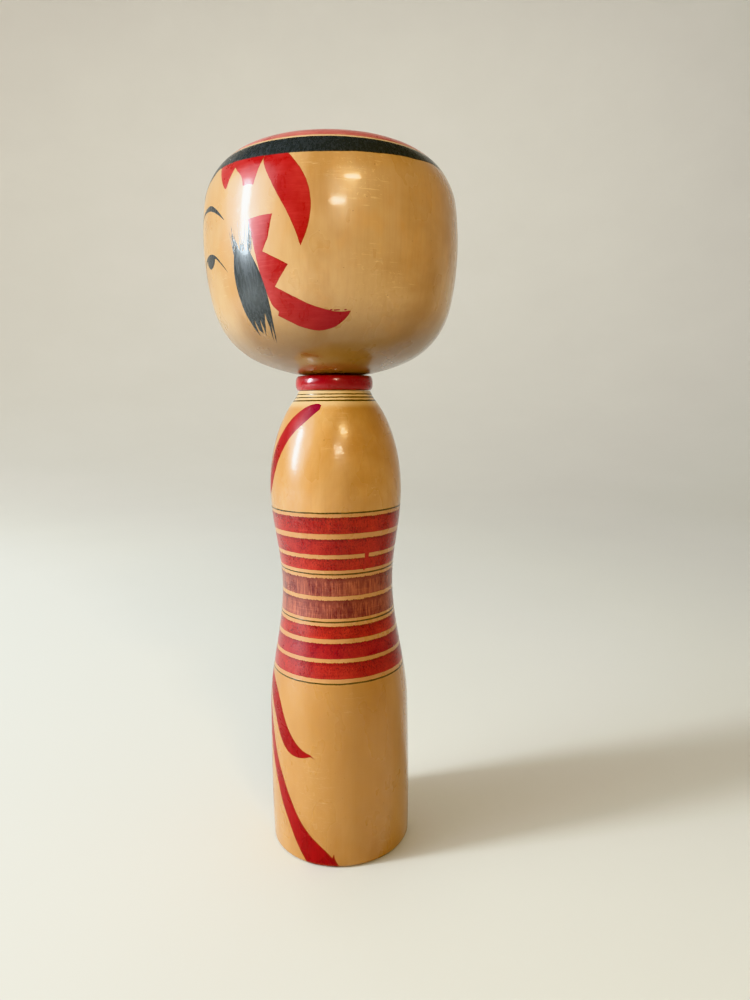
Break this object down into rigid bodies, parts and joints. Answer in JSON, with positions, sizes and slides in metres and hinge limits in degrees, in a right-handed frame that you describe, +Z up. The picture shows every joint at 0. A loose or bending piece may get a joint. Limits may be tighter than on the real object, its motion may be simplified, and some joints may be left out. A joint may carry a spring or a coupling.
{
  "type": "kokeshi doll",
  "caption": "Turned wooden kokeshi doll: a large round head that turns on a waisted body, with a loose neck ring between them.",
  "frame": {"origin": "centre of the foot's flat underside, on the surface the doll stands on", "axes": "+Z up along the turning axis; -Y the way the face looks; +X the doll's left, the side seen in the picture"},
  "size_m": [0.0846, 0.0846, 0.2424],
  "materials": {
    "head_wood": "waxed, glossy",
    "body_wood": "waxed, glossy",
    "ring_lacquer": "red dye under wax, glossy",
    "red_dye": "translucent dye under wax",
    "purple_dye": "thin streaky dye under wax",
    "black_ink": "ink under wax"
  },
  "bodies": {
    "body": {"body": "body_wood"},
    "neck_ring": {"neck_ring": "ring_lacquer"},
    "head": {"head": "head_wood"}
  },
  "joints": [
    {"name": "head_turn", "type": "hinge", "parent": "body", "child": "head", "pos_m": [0, 0, 0.16], "axis": [0, 0, 1], "continuous": true},
    {"name": "ring_spin", "type": "hinge", "parent": "body", "child": "neck_ring", "pos_m": [0, 0, 0.1655], "axis": [0, 0, 1], "continuous": true}
  ]
}
